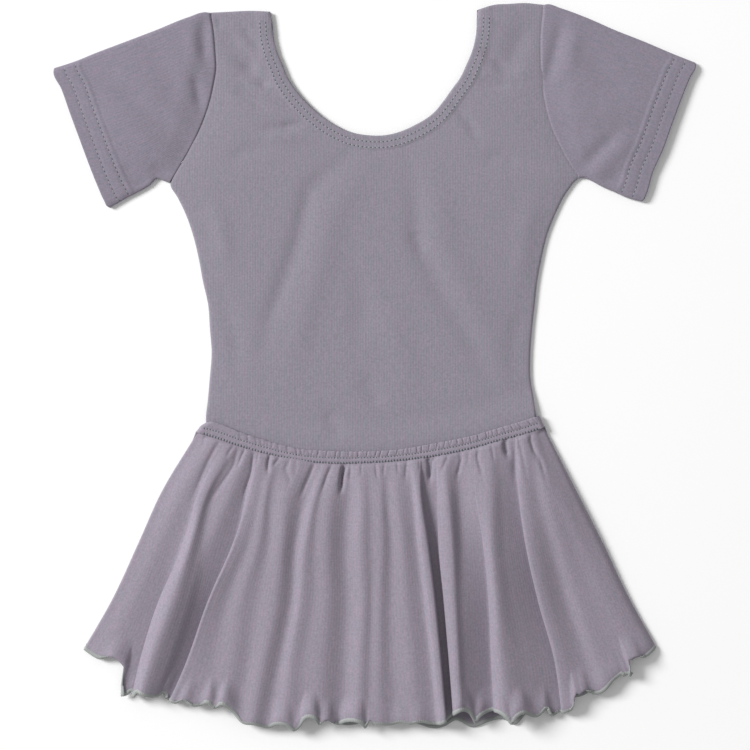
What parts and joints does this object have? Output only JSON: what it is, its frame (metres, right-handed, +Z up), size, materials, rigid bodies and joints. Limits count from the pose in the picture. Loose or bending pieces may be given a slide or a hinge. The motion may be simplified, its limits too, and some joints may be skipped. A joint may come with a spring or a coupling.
{
  "type": "short-sleeve skirted leotard",
  "caption": "Child's scoop-neck leotard with short set-in sleeves and an attached gathered skirt with a lettuce hem, laid flat.",
  "frame": {"origin": "on the surface the garment lies on, under the middle of its bounding box", "axes": "+Z up out of the surface, +Y towards the shoulders, +X to the viewer's right"},
  "size_m": [0.3673, 0.4142, 0.0119],
  "materials": {
    "body_jersey": "matte cotton-elastane jersey, fine vertical ribs, dusty mauve grey",
    "sleeve_jersey": "matte cotton-elastane jersey, dusty mauve grey",
    "skirt_jersey": "matte cotton-elastane jersey with a soft sheen on the folds, dusty mauve grey"
  },
  "bodies": {
    "root": {"front_panel": "body_jersey", "back_panel": "body_jersey", "sleeve_left": "sleeve_jersey", "sleeve_right": "sleeve_jersey", "skirt_casing": "skirt_jersey", "skirt_front": "skirt_jersey", "skirt_back": "skirt_jersey"}
  },
  "joints": []
}
